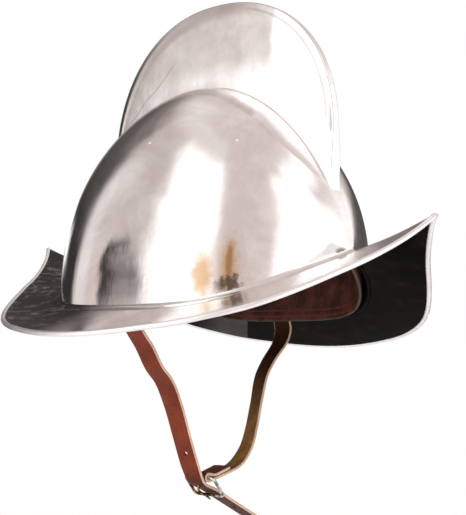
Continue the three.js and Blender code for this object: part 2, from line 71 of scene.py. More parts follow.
# How far the tent's folds and creases shift what they show, in degrees
FOLD_SHIFT = 18
CREASE_SHIFT = 4
CLOTH = (0.73, 0.64, 0.615)
WHITE = (1.5, 1.5, 1.49)


def feed(tree, sockets, values):
    """Set each socket to its value, or join it to the socket that stands for the value."""
    for socket, value in zip(sockets, values):
        if isinstance(value, bpy.types.NodeSocket):
            tree.links.new(value, socket)
        elif socket.type == "RGBA":
            socket.default_value = (*value, 1)
        else:
            socket.default_value = value


def add_node(tree, kind, settings=None, **inputs):
    node = tree.nodes.new(kind)
    for name, value in (settings or {}).items():
        setattr(node, name, value)
    feed(tree, [node.inputs[name.replace("_", " ")] for name in inputs], inputs.values())
    return node


def place_in(tree):
    return add_node(tree, "ShaderNodeTexCoord").outputs["Object"]


def mixed(tree, share, first, second):
    node = add_node(tree, "ShaderNodeMix", {"data_type": "RGBA"})
    feed(tree, (node.inputs[0], node.inputs[6], node.inputs[7]), (share, first, second))
    return node.outputs[2]


def math_of(tree, operation, first, second=0.0):
    node = add_node(tree, "ShaderNodeMath", {"operation": operation})
    feed(tree, node.inputs, (first, second))
    return node.outputs[0]


def vector_of(tree, operation, first, second=(0, 0, 0)):
    node = add_node(tree, "ShaderNodeVectorMath", {"operation": operation})
    feed(tree, node.inputs, (first, second))
    return node


def product(tree, first, *others):
    for value in others:
        first = math_of(tree, "MULTIPLY", first, value)
    return first


def ramp(tree, value, low, high, to_low=0.0, to_high=1.0):
    """A smooth rise, or fall, between two values."""
    node = add_node(
        tree,
        "ShaderNodeMapRange",
        {"interpolation_type": "SMOOTHSTEP"},
        Value=value,
        From_Min=low,
        From_Max=high,
        To_Min=to_low,
        To_Max=to_high,
    )
    return node.outputs["Result"]


def noise(tree, place, scale, detail, roughness, stretch=(1, 1, 1), distortion=0.0):
    scaled = add_node(tree, "ShaderNodeMapping", Vector=place, Scale=stretch)
    node = add_node(
        tree,
        "ShaderNodeTexNoise",
        Vector=scaled.outputs[0],
        Scale=scale,
        Detail=detail,
        Roughness=roughness,
        Distortion=distortion,
    )
    return node.outputs["Fac"]


def wander(tree, place, scale, detail, roughness, reach):
    """Noise that swings about nought, by up to half of its reach either way."""
    swing = math_of(tree, "SUBTRACT", noise(tree, place, scale, detail, roughness), 0.5)
    return product(tree, swing, reach)


def pale_floor():
    bpy.ops.mesh.primitive_circle_add(
        vertices=96, radius=FLOOR_RADIUS, fill_type="NGON", location=(0, 0, FLOOR_UP)
    )
    floor = bpy.context.object
    floor.name = "floor"
    material = bpy.data.materials.new("pale_floor")
    material.use_nodes = True
    tree = material.node_tree
    tree.nodes.clear()
    far = vector_of(tree, "LENGTH", place_in(tree)).outputs["Value"]
    pale = add_node(tree, "ShaderNodeBsdfDiffuse", Color=(0.9, 0.9, 0.9)).outputs[0]
    glow = add_node(tree, "ShaderNodeEmission", Color=(1, 1, 1), Strength=FLOOR_GLOW).outputs[0]
    lit = add_node(tree, "ShaderNodeAddShader")
    feed(tree, lit.inputs, (pale, glow))
    clear = add_node(tree, "ShaderNodeBsdfTransparent").outputs[0]
    shown = add_node(tree, "ShaderNodeMixShader", Fac=ramp(tree, far, *FLOOR_FADE))
    feed(tree, shown.inputs[1:], (lit.outputs[0], clear))
    add_node(tree, "ShaderNodeOutputMaterial", Surface=shown.outputs[0])
    floor.data.materials.append(material)


pale_floor()

world = bpy.data.worlds.new("studio")
world.use_nodes = True
bpy.context.scene.world = world
studio = world.node_tree
studio.nodes.clear()
toward = add_node(studio, "ShaderNodeTexCoord").outputs["Generated"]


def turned(axis):
    return vector_of(studio, "DOT_PRODUCT", toward, axis).outputs["Value"]


# Directions on the tent: degrees to the right of straight behind the helmet, and degrees up,
# both shifted a little by the cloth's folds and creases
ahead = Vector((0.743, 0.669, 0))
aside = Vector((0.669, -0.743, 0))
folds = wander(studio, toward, 2.2, 3, 0.5, FOLD_SHIFT)
creases = wander(studio, toward, 11, 4, 0.6, CREASE_SHIFT)
waver = math_of(studio, "ADD", folds, creases)
bearing = math_of(studio, "DEGREES", math_of(studio, "ARCTAN2", turned(aside), turned(ahead)))
bearing = math_of(studio, "ADD", bearing, waver)
height = math_of(studio, "DEGREES", math_of(studio, "ARCSINE", turned((0, 0, 1))))
height = math_of(studio, "ADD", height, waver)

# Each panel: its colour, its left and right bearing, its low and high edge, and how soft its
# sides and its top and bottom are, in degrees
tent = CLOTH
for colour, left, right, low, high, side_soft, top_soft in [
    ((0.84, 0.79, 0.77), -150, -26, 57, 74, 8, 6),
    (WHITE, -152, -95, -60, 55, 7, 7),
    (WHITE, 112, 151, -60, 54, 6, 8),
    ((1.15, 1.13, 1.11), 50, 114, -60, 36, 6, 6),
    ((1.3, 1.3, 1.29), 64, 130, 47, 58, 7, 5),
    ((0.74, 0.71, 0.69), 2, 56, 35, 50, 6, 5),
    ((0.50, 0.46, 0.43), 4, 64, 53, 67, 8, 5),
    ((0.60, 0.53, 0.51), -94, -56, 16, 52, 4, 6),
    ((0.84, 0.79, 0.78), -79, -65, -60, 34, 4, 5),
    ((0.34, 0.29, 0.28), -20, 5, -60, 52, 6, 7),
    ((0.21, 0.185, 0.175), -62, -18, 26, 51, 5, 7),
    ((0.085, 0.078, 0.074), -62, -18, -60, 38, 4, 9),
    ((0.03, 0.027, 0.026), -66, -24, -60, 20, 4, 10),
    ((0.05, 0.045, 0.044), -30, 12, -60, 9, 5, 5),
    ((0.085, 0.078, 0.076), 8, 46, -60, 26, 5, 6),
    ((0.23, 0.20, 0.195), -93, -87, 2, 13, 1.8, 6),
    ((0.055, 0.048, 0.048), -89.6, -87.2, 2, 16, 1.1, 5),
    ((1.2, 1.2, 1.2), -38, -10, 6, 12, 4, 2),
]:
    mask = product(
        studio,
        ramp(studio, bearing, left - side_soft, left + side_soft),
        ramp(studio, bearing, right + side_soft, right - side_soft),
        ramp(studio, height, low - top_soft, low + top_soft),
        ramp(studio, height, high + top_soft, high - top_soft),
    )
    tent = mixed(studio, mask, tent, colour)
lights = add_node(studio, "ShaderNodeBackground", Color=tent, Strength=1.0)
backdrop = add_node(studio, "ShaderNodeBackground", Color=(1, 1, 1), Strength=1.0)
seen = add_node(studio, "ShaderNodeLightPath").outputs["Is Camera Ray"]
either = add_node(studio, "ShaderNodeMixShader", Fac=seen)
feed(studio, either.inputs[1:], (lights.outputs[0], backdrop.outputs[0]))
add_node(studio, "ShaderNodeOutputWorld", Surface=either.outputs[0])

# Skull: two raised halves welded along the crest of the comb, 1.2 mm steel polished outside
# and left rough inside. The comb's foot runs into the bowl in a small hollow.
STEEL = 1.2
GAP = 0.3
BOWL_LENGTH = 226
BOWL_WIDTH = 164
SEAM_UP = 2
SEAM_RISE = 35.5
SEAM_CURVE = 4.0
CROWN_UP = 149.3
PLAN_CURVE = 3.75
PLAN_FLARE = 1.05
RIDGE_CURVE = 1.84
RIDGE_FLARE = 1.45
SECTION_CURVE = 2.14
# An inset reaches further at the pointed ends than at the sides
END_INSET = 1.15
COMB_FRONT = 100
COMB_BACK = 94.5
COMB_UP = 108
COMB_RISE = 99.4
COMB_CURVE = 2.2
COMB_FOOT_CURVE = 3
COMB_THICKNESS = 9.6
CREST_ROUND = 1.2
COMB_HOLLOW = 1.5
SHOULDER = 12.0
SHOULDER_DEPTH = 1.9
SKULL_STATIONS = 176
WALL_ROWS = 40
HOLLOW_ROWS = 5
COMB_ROWS = 14
SHOULDER_ROWS = 8
ROUND_ROWS = 4
RIGHT_ANGLE = math.pi / 2


def at(forward, side, up):
    return np.array((side, -forward, up), float)


def smooth_share(value, low, high):
    share = min(max((value - low) / (high - low), 0.0), 1.0)
    return share * share * (3 - 2 * share)


def bisect(low, high, inside, steps=40):
    for _ in range(steps):
        trial = (low + high) / 2
        if inside(trial):
            low = trial
        else:
            high = trial
    return low


def bowl(inset):
    """The bowl and the comb's outline, at an inset from the outer face."""
    form = SimpleNamespace()
    middle = GAP / 2
    form.half_length = BOWL_LENGTH / 2 - inset * END_INSET
    half_width = BOWL_WIDTH / 2 - inset
    half_comb = COMB_THICKNESS / 2 - min(inset, COMB_THICKNESS / 2 - 2 * middle)
    crown = CROWN_UP - inset
    end_up = SEAM_UP + SEAM_RISE
    comb_rise = COMB_RISE - inset

    def share(forward):
        return min(abs(forward) / form.half_length, 1)

    def seam(forward):
        return SEAM_UP + SEAM_RISE * share(forward) ** SEAM_CURVE

    def ridge(forward):
        return end_up + (crown - end_up) * (1 - share(forward) ** RIDGE_CURVE) ** (1 / RIDGE_FLARE)

    def comb_reach(end):
        return (COMB_FRONT if end > 0 else COMB_BACK) - inset

    def crest(turn):
        power = 2 / (COMB_CURVE if math.sin(turn) > 0 else COMB_FOOT_CURVE)
        reach, rise = math.cos(turn), math.sin(turn)
        forward = comb_reach(reach) * math.copysign(abs(reach) ** power, reach)
        return forward, COMB_UP + comb_rise * math.copysign(abs(rise) ** power, rise)

    def inside_comb(end):
        def test(trial):
            over = ridge(trial) - COMB_UP
            power = COMB_CURVE if over > 0 else COMB_FOOT_CURVE
            return (trial / comb_reach(end)) ** power + abs(over / comb_rise) ** power < 1

        return test

    feet = {end: bisect(0, form.half_length, inside_comb(end)) for end in (1, -1)}

    def foot_at(forward):
        return feet[1 if forward > 0 else -1]

    def keel(forward):
        past = smooth_share(abs(forward), foot_at(forward), form.half_length)
        return middle + (half_comb - middle) * (1 - past)

    def plan(forward):
        flare = (1 - share(forward) ** PLAN_CURVE) ** (1 / PLAN_FLARE)
        return keel(forward) + (half_width - half_comb) * flare

    def wall(forward, angle):
        narrow, low = keel(forward), seam(forward)
        side = narrow + (plan(forward) - narrow) * max(math.cos(angle), 0) ** (2 / SECTION_CURVE)
        return side, low + (ridge(forward) - low) * math.sin(angle) ** (2 / SECTION_CURVE)

    def width_at(forward, height):
        rise = min(height / (ridge(forward) - seam(forward)), 1)
        return wall(forward, math.asin(max(rise, 0) ** (SECTION_CURVE / 2)))[0]

    form.seam, form.ridge, form.keel, form.plan = seam, ridge, keel, plan
    form.wall, form.width_at, form.crest, form.foot_at = wall, width_at, crest, foot_at
    form.comb_rise = comb_rise
    return form


def forward_share(station):
    return math.sin(station * RIGHT_ANGLE)


def comb_end(form, end):
    """Where the comb's foot comes among the stations, and its angle on the crest."""
    foot = form.foot_at(end)
    station = math.asin(foot / form.half_length) / RIGHT_ANGLE
    knee = 1 - 2 * round((1 - station) * SKULL_STATIONS / 2) / SKULL_STATIONS
    drop = min((form.ridge(foot) - COMB_UP) / form.comb_rise, 0)
    return station, knee, -math.asin(abs(drop) ** (COMB_FOOT_CURVE / 2))


def skull_column(form, share, ends, hollow):
    """Half a cross-section of the skull, from its flange to the middle of the crest."""
    foot, knee, foot_angle = ends[1 if share > 0 else -1]
    size = abs(share)
    on_comb = size < knee - 1e-6
    warped = size / knee * foot if size <= knee else foot + (size - knee) / (1 - knee) * (1 - foot)
    forward = form.half_length * forward_share(math.copysign(warped, share))
    half = form.keel(forward)
    ridge = form.ridge(forward)
    quarter = (RIGHT_ANGLE - foot_angle) * (warped / foot)
    turn = RIGHT_ANGLE - math.copysign(quarter, share)
    crest = form.crest(turn) if on_comb else (forward, ridge)
    rise = math.hypot(crest[0] - forward, crest[1] - ridge)
    rounding = min(CREST_ROUND if hollow else CREST_ROUND / 2, rise / 4)
    reach = math.hypot(crest[0], crest[1] - COMB_UP)
    outward = (crest[0] / reach, (crest[1] - COMB_UP) / reach) if on_comb else (0, 0)

    def crest_point(depth, side):
        return at(crest[0] - outward[0] * depth, side, crest[1] - outward[1] * depth)

    # The wall stops short of the comb by the hollow's size, and the hollow bends into the side
    size = min(hollow, rise * 0.4)
    spread = max(form.plan(forward) - half, 1e-6)
    last = math.acos(min(size / spread, 1) ** (SECTION_CURVE / 2))
    column = [at(forward, form.plan(forward), form.seam(forward) - STEEL)]
    for row in range(WALL_ROWS + 1):
        side, up = form.wall(forward, last * row / WALL_ROWS)
        column.append(at(forward, side, up))
    side_foot = at(forward, half, ridge)
    side_top = crest_point(rounding, half)
    start = column[-1]
    slope = column[-1] - column[-2]
    bend = side_foot
    if size > 0.05 and abs(slope[0]) > 1e-9:
        bend = start + slope * ((half - start[0]) / slope[0])
    end = side_foot + (side_top - side_foot) * (size / rise if rise > 0 else 0)
    run = np.linalg.norm(side_top - end)
    shoulder = min(SHOULDER, run / 2)
    depth = SHOULDER_DEPTH * (shoulder / SHOULDER) ** 2

    def lean(to_crest):
        return depth * max(1 - to_crest / max(shoulder, 1e-6), 0) ** 2

    # The hollow, the comb's side with its shoulder, and the rounded crest
    for row in range(1, HOLLOW_ROWS + 1):
        t = row / HOLLOW_ROWS
        column.append(start * (1 - t) ** 2 + bend * 2 * t * (1 - t) + end * t**2)
    flat_rows = COMB_ROWS - SHOULDER_ROWS
    for row in range(1, COMB_ROWS + 1):
        if row <= flat_rows:
            to_crest = run + (shoulder - run) * row / flat_rows
        else:
            to_crest = shoulder * (COMB_ROWS - row) / SHOULDER_ROWS
        point = end + (side_top - end) * (1 - to_crest / run if run > 0 else 1)
        column.append(point - at(0, lean(to_crest), 0))
    crest_half = half - depth
    for row in range(1, ROUND_ROWS + 1):
        angle = RIGHT_ANGLE * row / ROUND_ROWS
        sunk = rounding * (1 - math.sin(angle))
        column.append(crest_point(sunk, crest_half - rounding * (1 - math.cos(angle))))
    column.append(crest_point(0, crest_half / 2))
    column.append(crest_point(0, 0))
    return column


def skull_grid(inset, hollow):
    form = bowl(inset)
    ends = {end: comb_end(form, end) for end in (1, -1)}
    grid = []
    for i in range(SKULL_STATIONS + 1):
        half = skull_column(form, -1 + 2 * i / SKULL_STATIONS, ends, hollow)
        mirrored = [point * (-1, 1, 1) for point in half[:-1]]
        grid.append(half + mirrored[::-1])
    return np.array(grid)


def sheet_faces(rows, columns):
    """Faces of a closed sheet between two grids, outer first, and a mark for each face: 0 outer,
    1 inner, 2 the flange and the sheet's edges."""
    faces, marks = [], []

    def face(mark, *corners):
        faces.append(tuple((layer * rows + r) * columns + c for r, c, layer in corners))
        marks.append(mark)

    last_row, last_column = rows - 1, columns - 1
    for r in range(last_row):
        for c in range(last_column):
            flange = c in (0, last_column - 1)
            face(2 if flange else 0, (r, c, 0), (r, c + 1, 0), (r + 1, c + 1, 0), (r + 1, c, 0))
            face(1, (r, c, 1), (r + 1, c, 1), (r + 1, c + 1, 1), (r, c + 1, 1))
        face(2, (r, 0, 0), (r + 1, 0, 0), (r + 1, 0, 1), (r, 0, 1))
        c = last_column
        face(2, (r, c, 0), (r, c, 1), (r + 1, c, 1), (r + 1, c, 0))
    for c in range(last_column):
        face(2, (0, c, 0), (0, c, 1), (0, c + 1, 1), (0, c + 1, 0))
        r = last_row
        face(2, (r, c, 0), (r, c + 1, 0), (r, c + 1, 1), (r, c, 1))
    return faces, marks


def make_piece(name, points, faces, materials, marks=None, sharp=40, stands_for=()):
    """A smooth-shaded piece in metres, with one material for each mark, riding on the helmet."""
    mesh = bpy.data.meshes.new(name)
    mesh.from_pydata((np.asarray(points) / 1000).tolist(), [], faces)
    for material in materials:
        mesh.materials.append(material)
    if marks is not None:
        mesh.polygons.foreach_set("material_index", marks)
    mesh.validate()
    mesh.shade_smooth()
    mesh.set_sharp_from_angle(angle=math.radians(sharp))
    piece = bpy.data.objects.new(name, mesh)
    bpy.context.scene.collection.objects.link(piece)
    face_out(piece)
    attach(piece, "root")
    if stands_for:
        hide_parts(*stands_for)
    return piece


def face_out(piece):
    work = bmesh.new()
    work.from_mesh(piece.data)
    bmesh.ops.recalc_face_normals(work, faces=work.faces)
    work.to_mesh(piece.data)
    work.free()


def blot(tree, place, centre, radii, soft, ragged, grain=160):
    """A mark of a centre and radii in millimetres, its edge broken up by noise."""
    away = vector_of(tree, "SUBTRACT", place, Vector(centre) / 1000).outputs["Vector"]
    shares = vector_of(tree, "DIVIDE", away, Vector(radii) / 1000).outputs["Vector"]
    far = vector_of(tree, "LENGTH", shares).outputs["Value"]
    far = math_of(tree, "ADD", far, wander(tree, place, grain, 6, 0.65, 2 * ragged))
    return ramp(tree, far, 1 + soft, 1 - soft)


def band(tree, value, low, high, soft):
    """One between two values, nought outside them, with soft ends; in millimetres."""
    rise = ramp(tree, value, (low - soft) / 1000, (low + soft) / 1000)
    fall = ramp(tree, value, (high + soft) / 1000, (high - soft) / 1000)
    return product(tree, rise, fall)


def axis_of(tree, place, name):
    return add_node(tree, "ShaderNodeSeparateXYZ", Vector=place).outputs[name]


def stain(material, share, colour=None, roughness=None):
    """Lay a colour, or a roughness, or both over what the material has, by a share."""
    tree = material.node_tree
    shader = tree.nodes["Principled BSDF"]
    if colour is not None:
        under = shader.inputs["Base Color"].links[0].from_socket
        tree.links.new(mixed(tree, share, under, colour), shader.inputs["Base Color"])
    if roughness is not None:
        under = shader.inputs["Roughness"].links[0].from_socket
        kept = product(tree, under, math_of(tree, "SUBTRACT", 1.0, share))
        laid = product(tree, share, roughness)
        tree.links.new(math_of(tree, "ADD", kept, laid), shader.inputs["Roughness"])


def new_material(name):
    material = bpy.data.materials.new(name)
    material.use_nodes = True
    tree = material.node_tree
    return material, tree, tree.nodes["Principled BSDF"], place_in(tree)


def paint(tree, shader, colour, roughness):
    feed(tree, (shader.inputs["Base Color"], shader.inputs["Roughness"]), (colour, roughness))


def roughen(tree, shader, *layers):
    """Bumps laid one over another: each a height, a strength and a depth in metres."""
    under = None
    for height, strength, depth in layers:
        bump = add_node(tree, "ShaderNodeBump", Height=height, Strength=strength, Distance=depth)
        if under:
            tree.links.new(under, bump.inputs["Normal"])
        under = bump.outputs[0]
    tree.links.new(under, shader.inputs["Normal"])


def steel_finish(name, pale, dull, smoothest, roughest, wave):
    """Steel from the hammer, planished and polished: clouds, swells, scratches and ripples."""
    material, tree, shader, place = new_material(name)
    shader.inputs["Metallic"].default_value = 1.0
    cloud = noise(tree, place, 24, 8, 0.68, distortion=0.8)
    haze = noise(tree, place, 45, 6, 0.6)
    colour = mixed(tree, ramp(tree, cloud, 0.36, 0.64), pale, dull)
    paint(tree, shader, colour, ramp(tree, haze, 0.3, 0.75, smoothest, roughest))
    swell = noise(tree, place, 26, 2, 0.4)
    scratches = noise(tree, place, 900, 3, 0.5, (1, 1, 0.08))
    ripple = noise(tree, place, 110, 3, 0.5, (1, 1, 0.35))
    roughen(tree, shader, (swell, 1.0, wave), (scratches, 0.1, 0.00002), (ripple, 1.0, wave / 8))
    return material


# Each mark: centre, radii, softness, raggedness, grain, share, colour and roughness
BOWL_MARKS = [
    ((-68, -70, 22), (18, 16, 17), 0.5, 0.9, 90, 0.30, (0.66, 0.55, 0.43), 0.30),
    ((-74.5, -60, 20), (14, 5.5, 11), 0.6, 0.8, 140, 0.75, (0.62, 0.36, 0.15), 0.40),
    ((-66.3, -73.8, 25), (12, 4.0, 15), 0.5, 0.8, 210, 0.70, (0.55, 0.31, 0.11), 0.45),
    ((-66.3, -73.8, 29), (12, 1.5, 9), 0.5, 0.5, 260, 0.65, (0.30, 0.13, 0.03), 0.45),
    ((-65.8, -74.8, 15.5), (12, 4.8, 4.5), 0.5, 1.5, 330, 0.85, (0.06, 0.04, 0.025), 0.50),
    ((-69, -69.5, 13.5), (12, 2.6, 3.5), 0.5, 1.3, 330, 0.55, (0.16, 0.12, 0.09), 0.45),
    ((-62, -2, 105), (1.1, 1.1, 1.1), 0.4, 0.2, 200, 0.9, (1.0, 0.99, 0.97), 0.75),
    ((-47, -61, 103), (1.1, 1.1, 1.1), 0.4, 0.2, 200, 0.9, (1.0, 0.99, 0.97), 0.75),
    ((-7.8, -110.4, 36.7), (5, 2.2, 2.2), 0.4, 0.4, 300, 0.75, (0.10, 0.09, 0.085), 0.45),
]


def skull_finish():
    """Polished steel with the marks of age and painted shade: a hazy comb with painted shade at its rear rim,
    painted shade along a crease and beside the front crest, tarnish, small marks and pits.
    """
    material = steel_finish(
        "polished_steel", (0.98, 0.965, 0.955), (0.85, 0.805, 0.795), 0.11, 0.19, 0.0003
    )
    tree = material.node_tree
    place = place_in(tree)
    side, back, up = (axis_of(tree, place, name) for name in "XYZ")
    # How far out on the comb: one at its crest
    behind = math_of(tree, "DIVIDE", back, COMB_BACK / 1000)
    before = math_of(tree, "DIVIDE", back, -COMB_FRONT / 1000)
    along = math_of(tree, "POWER", math_of(tree, "MAXIMUM", behind, before), COMB_CURVE)
    over = math_of(tree, "DIVIDE", math_of(tree, "SUBTRACT", up, COMB_UP / 1000), COMB_RISE / 1000)
    over = math_of(tree, "POWER", math_of(tree, "MAXIMUM", over, 0.0), COMB_CURVE)
    level = math_of(tree, "ADD", along, over)
    on_side = product(tree, band(tree, side, -5.2, 5.2, 0.3), band(tree, up, 118, 400, 3))
    # Haze round the rear of the comb's rim and over its upper part, darker and rougher: near the rim the
    # darkening is painted shade, standing for the dark that the curved rim reflects; over the upper part it
    # is a greyer patch
    ragged = wander(tree, place, 40, 6, 0.6, 0.3)
    rim_painted_shade = product(
        tree,
        ramp(tree, math_of(tree, "ADD", level, ragged), 0.58, 0.84),
        band(tree, back, -32, 400, 6),
        ramp(tree, up, 0.135, 0.168, 0.1, 1.0),
    )
    shift = product(tree, ragged, 0.05)
    cloud = product(
        tree,
        ramp(tree, math_of(tree, "ADD", back, shift), -0.055, -0.048),
        ramp(tree, math_of(tree, "ADD", up, shift), 0.153, 0.170),
    )
    haze = product(
        tree,
        math_of(tree, "MAXIMUM", rim_painted_shade, cloud),
        on_side,
        ramp(tree, noise(tree, place, 60, 7, 0.62), 0.3, 0.7, 0.7, 1.0),
        ramp(tree, back, 0.05, -0.02, 0.72, 1.0),
    )
    stain(material, haze, (0.57, 0.51, 0.485), 0.24)
    # Painted shade: a dark line along a crease across the rear of the comb, and a darker line beside its
    # front crest
    across = math_of(tree, "ADD", product(tree, back, 0.625), product(tree, up, 0.781))
    across = math_of(tree, "ADD", across, wander(tree, place, 22, 2, 0.5, 0.012))
    crease_shade = product(tree, band(tree, across, 156.9, 157.7, 0.6), band(tree, back, 36, 78, 8))
    stain(material, product(tree, crease_shade, on_side, 0.5), (0.30, 0.28, 0.28))
    beside = product(tree, ramp(tree, level, 0.875, 0.895), ramp(tree, level, 0.93, 0.91))
    beside = product(tree, beside, on_side, band(tree, back, -130, -30, 8), 0.55)
    stain(material, beside, (0.35, 0.33, 0.33))
    # Tarnish low on the wearer's right side, two small white dots high on the bowl, and a small dark mark at
    # the front end of the bowl by the brim
    for centre, radii, soft, broken, grain, share, colour, roughness in BOWL_MARKS:
        mark = blot(tree, place, centre, radii, soft, broken, grain)
        stain(material, product(tree, mark, share), colour, roughness)
    # The rear of that side is polished brightest
    stain(material, blot(tree, place, (-82, 14, 18), (30, 36, 34), 0.4, 0.1), None, 0.045)
    # Fine pits, thickest near the brim
    pits = ramp(tree, noise(tree, place, 620, 3, 0.6), 0.70, 0.76)
    near_brim = ramp(tree, up, 0.055, 0.008, 0.15, 0.8)
    stain(material, product(tree, pits, near_brim), (0.22, 0.19, 0.17), 0.4)
    return material


def blackened_finish():
    """Steel left black from the fire, with a red bloom and a paler grey patch on the far side."""
    material, tree, shader, place = new_material("blackened_steel")
    shader.inputs["Specular IOR Level"].default_value = 0.02
    cloud = noise(tree, place, 60, 6, 0.6)
    black, brown = (0.0022, 0.0019, 0.0016), (0.016, 0.010, 0.008)
    colour = mixed(tree, ramp(tree, cloud, 0.45, 0.75), black, brown)
    paint(tree, shader, colour, ramp(tree, cloud, 0.3, 0.7, 0.5, 0.7))
    bloom = ramp(tree, noise(tree, place, 75, 6, 0.7), 0.56, 0.72, 0, 0.5)
    stain(material, bloom, (0.022, 0.008, 0.006))
    # A paler grey patch starts sharply along a line behind the strap and fades away from it
    side, back = axis_of(tree, place, "X"), axis_of(tree, place, "Y")
    past = math_of(tree, "SUBTRACT", back, product(tree, side, 0.868))
    past = math_of(tree, "ADD", past, 0.0301)
    worn = product(
        tree,
        band(tree, side, 62, 140, 4),
        ramp(tree, past, -0.0005, 0.0005),
        ramp(tree, past, 0.060, 0.018),
        ramp(tree, cloud, 0.3, 0.7, 0.6, 1.0),
    )
    stain(material, worn, (0.085, 0.073, 0.073))
    roughen(tree, shader, (noise(tree, place, 500, 4, 0.6), 0.3, 0.0001))
    return material


polished_steel = skull_finish()
rough_steel = steel_finish(
    "rough_steel", (0.07, 0.066, 0.062), (0.04, 0.036, 0.034), 0.5, 0.65, 0.0006
)


blackened_steel = blackened_finish()
outer = skull_grid(0, COMB_HOLLOW)
inner = skull_grid(STEEL, 0)
faces, marks = sheet_faces(*outer.shape[:2])
make_piece(
    "skull",
    np.concatenate((outer.reshape(-1, 3), inner.reshape(-1, 3))),
    faces,
    [polished_steel, rough_steel, blackened_steel],
    marks,
    stands_for=("skull_left", "skull_right"),
)

# Brim: one steel plate fixed round the bowl's flange, dished a little between the seam and the
# edge, polished on top and blackened below.
BRIM_LENGTH = 344
BRIM_WIDTH = 257
BRIM_SIDE_UP = -15.0
BRIM_FRONT_UP = 55.3
BRIM_BACK_UP = 52.8
BRIM_DISH = 1.5
EDGE_RADIUS = 1.6
BRIM_STATIONS = 128
BRIM_STEPS = 14
# How far the plate runs into its rolled edge
BRIM_TUCK = 0.6
# The plate's turned-up root against the bowl: out from the seam, and up; it meets the plate's
# top this far out
BRIM_ROOT = [(-0.55, 2.4), (-0.2, 1.5), (0.5, 0.75), (1.2, 0.25)]
BRIM_ROOT_OUT = 2.2
# Share of the way to a tip, with the share of the width or of the rise there
BRIM_OUTLINE = [
    (0.0, 1.0), (0.2, 0.967), (0.4, 0.88), (0.55, 0.767), (0.68, 0.603),
    (0.79, 0.391), (0.87, 0.212), (0.93, 0.097), (0.97, 0.035), (1.0, 0.0),
]
BRIM_SWEEP = [
    (0.0, 0.0), (0.3, 0.048), (0.5, 0.13), (0.68, 0.292), (0.82, 0.55), (0.92, 0.783), (1.0, 1.0),
]


def between(table, share):
    """A value between the rows of a table, on a smooth curve that starts level."""
    last = len(table) - 1

    def slope(i):
        return (table[i + 1][1] - table[i][1]) / (table[i + 1][0] - table[i][0])

    def tangent(i):
        if i == 0:
            return 0.0
        if i == last:
            return slope(last - 1)
        before = table[i][0] - table[i - 1][0]
        after = table[i + 1][0] - table[i][0]
        return (slope(i - 1) * after + slope(i) * before) / (before + after)

    i = 0
    while i < last - 1 and share > table[i + 1][0]:
        i += 1
    span = table[i + 1][0] - table[i][0]
    t = min(max((share - table[i][0]) / span, 0), 1)
    return (
        (2 * t**3 - 3 * t**2 + 1) * table[i][1]
        + (t**3 - 2 * t**2 + t) * span * tangent(i)
        + (3 * t**2 - 2 * t**3) * table[i + 1][1]
        + (t**3 - t**2) * span * tangent(i + 1)
    )


def brim_outer(station):
    share = abs(forward_share(station))
    tip_up = BRIM_FRONT_UP if station > 0 else BRIM_BACK_UP
    forward = BRIM_LENGTH / 2 * forward_share(station)
    side = BRIM_WIDTH / 2 * between(BRIM_OUTLINE, share)
    return forward, side, BRIM_SIDE_UP + (tip_up - BRIM_SIDE_UP) * between(BRIM_SWEEP, share)


skull_face = bowl(0)
skull_clear = bowl(-GAP)


def brim_inset(station, inset):
    """The brim's outline moved in towards the bowl by an inset measured square to it."""
    step = 0.004
    here = brim_outer(station)
    back = brim_outer(max(station - step, -1))
    on = brim_outer(min(station + step, 1))
    run = math.hypot(on[0] - back[0], on[1] - back[1])
    normal = (-(on[1] - back[1]) / run, (on[0] - back[0]) / run)
    seam_forward = skull_face.half_length * forward_share(station)
    inward = (seam_forward - here[0], skull_face.plan(seam_forward) - here[1])
    reach = math.hypot(*inward)
    square = max(abs(inward[0] * normal[0] + inward[1] * normal[1]) / reach, 0.5)
    move = inset / square / reach
    side = 0.0 if abs(station) > 1 - 1e-9 else here[1] + inward[1] * move
    return here[0] + inward[0] * move, side, here[2]


def brim_section(station, hand):
    forward = skull_clear.half_length * forward_share(station)
    side = 0 if abs(station) > 1 - 1e-9 else skull_clear.plan(forward) * hand
    start = at(forward, side, skull_face.seam(forward * 0.999))
    forward, side, up = brim_inset(station, 2 * EDGE_RADIUS - BRIM_TUCK)
    end = at(forward, side * hand, up)
    top = []
    for i in range(BRIM_STEPS + 1):
        share = i / BRIM_STEPS
        top.append(start + (end - start) * share - at(0, 0, BRIM_DISH * math.sin(math.pi * share)))
    below = [point - at(0, 0, STEEL) for point in reversed(top)]
    outward = (end - start) * (1, 1, 0) / np.linalg.norm((end - start)[:2])
    root = [start + outward * out + at(0, 0, rise) for out, rise in BRIM_ROOT]
    top[0] = top[0] + outward * BRIM_ROOT_OUT
    return root + top + below


def half_round(count):
    stations = [-1 + 2 * i / count for i in range(count + 1)]
    return [(s, 1) for s in stations] + [(s, -1) for s in reversed(stations[1:-1])]


def ring_faces(sections, points, endless=True, mark=lambda i: 0):
    """Faces of a body through sections of equally many points, joined end to end or capped."""
    faces, marks = [], []
    for s in range(sections if endless else sections - 1):
        a, b = s * points, (s + 1) % sections * points
        for i in range(points):
            j = (i + 1) % points
            faces.append((a + i, a + j, b + j, b + i))
            marks.append(mark(i))
    if not endless:
        faces.append(tuple(range(points)))
        faces.append(tuple(reversed(range((sections - 1) * points, sections * points))))
        marks += [mark(0), mark(0)]
    return faces, marks


